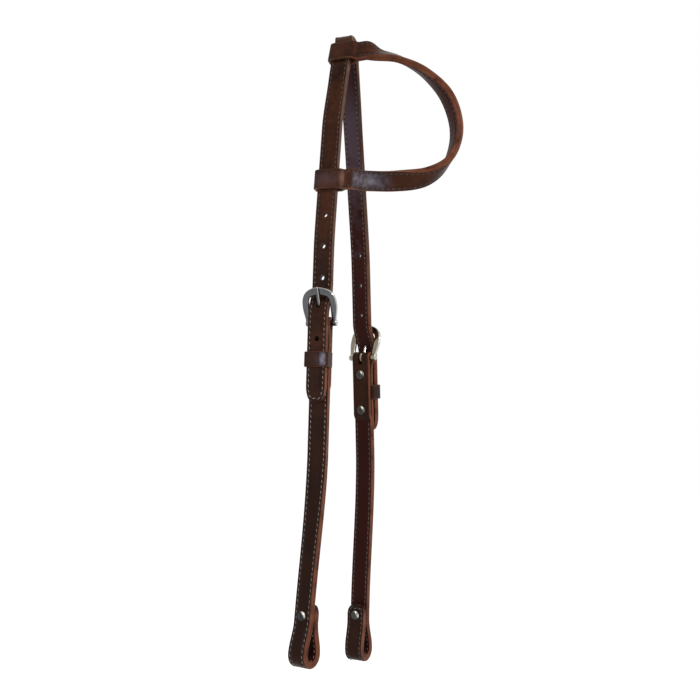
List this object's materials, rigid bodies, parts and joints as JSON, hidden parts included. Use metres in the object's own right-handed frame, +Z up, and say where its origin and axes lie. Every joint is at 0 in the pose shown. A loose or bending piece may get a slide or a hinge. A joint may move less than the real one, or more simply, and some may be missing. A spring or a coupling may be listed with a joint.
{
  "type": "western headstall",
  "caption": "One-ear leather headstall: stitched two-ply crown and cheekpieces, a sliding ear strap, frame buckles and screwed bit loops.",
  "frame": {"origin": "underside of the crown's bend, where it lies over the poll", "axes": "+Z up, +X towards the horse's nose, +Y towards the horse's left"},
  "size_m": [0.1237, 0.125, 0.5246],
  "materials": {
    "leather": "oiled dark brown bridle leather",
    "lining": "dark brown lining leather, less polished",
    "nickel": "nickel plate, softly polished"
  },
  "bodies": {
    "headstall": {"crown_outer": "leather", "crown_lining": "lining", "cheek_outer_right": "leather", "cheek_lining_right": "lining", "cheek_outer_left": "leather", "cheek_lining_left": "lining", "chape_upper_post_right": "nickel", "chape_upper_screw_right": "nickel", "chape_lower_post_right": "nickel", "chape_lower_screw_right": "nickel", "bit_post_right": "nickel", "bit_screw_right": "nickel", "chape_upper_post_left": "nickel", "chape_upper_screw_left": "nickel", "chape_lower_post_left": "nickel", "chape_lower_screw_left": "nickel", "bit_post_left": "nickel", "bit_screw_left": "nickel"},
    "ear_piece": {"ear_loop_top": "leather", "ear_loop_low": "leather", "ear_outer": "leather", "ear_lining": "lining"},
    "keeper_right": {"keeper_right": "leather"},
    "buckle_frame_right": {"buckle_frame_right": "nickel"},
    "buckle_tongue_right": {"buckle_tongue_right": "nickel"},
    "keeper_left": {"keeper_left": "leather"},
    "buckle_frame_left": {"buckle_frame_left": "nickel"},
    "buckle_tongue_left": {"buckle_tongue_left": "nickel"}
  },
  "joints": [
    {"name": "ear_piece_slide", "type": "slide", "parent": "headstall", "child": "ear_piece", "axis": [0, 0.2181, 0.9759], "range_m": [-0.003, 0.003]},
    {"name": "buckle_frame_right_hinge", "type": "hinge", "parent": "headstall", "child": "buckle_frame_right", "pos_m": [0, -0.04159, -0.23555], "axis": [0.9917, 0.1288, 0], "range_deg": [-3, 3]},
    {"name": "buckle_tongue_right_hinge", "type": "hinge", "parent": "buckle_frame_right", "child": "buckle_tongue_right", "pos_m": [0, -0.04159, -0.23555], "axis": [0.9917, 0.1288, 0], "range_deg": [0, 3]},
    {"name": "keeper_right_slide", "type": "slide", "parent": "headstall", "child": "keeper_right", "axis": [-0.0076, 0.0583, 0.9983], "range_m": [-0.004, 0.004]},
    {"name": "buckle_frame_left_hinge", "type": "hinge", "parent": "headstall", "child": "buckle_frame_left", "pos_m": [0, 0.03662, -0.26016], "axis": [-0.9912, 0.1323, 0], "range_deg": [-3, 3]},
    {"name": "buckle_tongue_left_hinge", "type": "hinge", "parent": "buckle_frame_left", "child": "buckle_tongue_left", "pos_m": [0, 0.03662, -0.26016], "axis": [-0.9912, 0.1323, 0], "range_deg": [0, 3]},
    {"name": "keeper_left_slide", "type": "slide", "parent": "headstall", "child": "keeper_left", "axis": [-0.0078, -0.0583, 0.9983], "range_m": [-0.004, 0.004]}
  ]
}
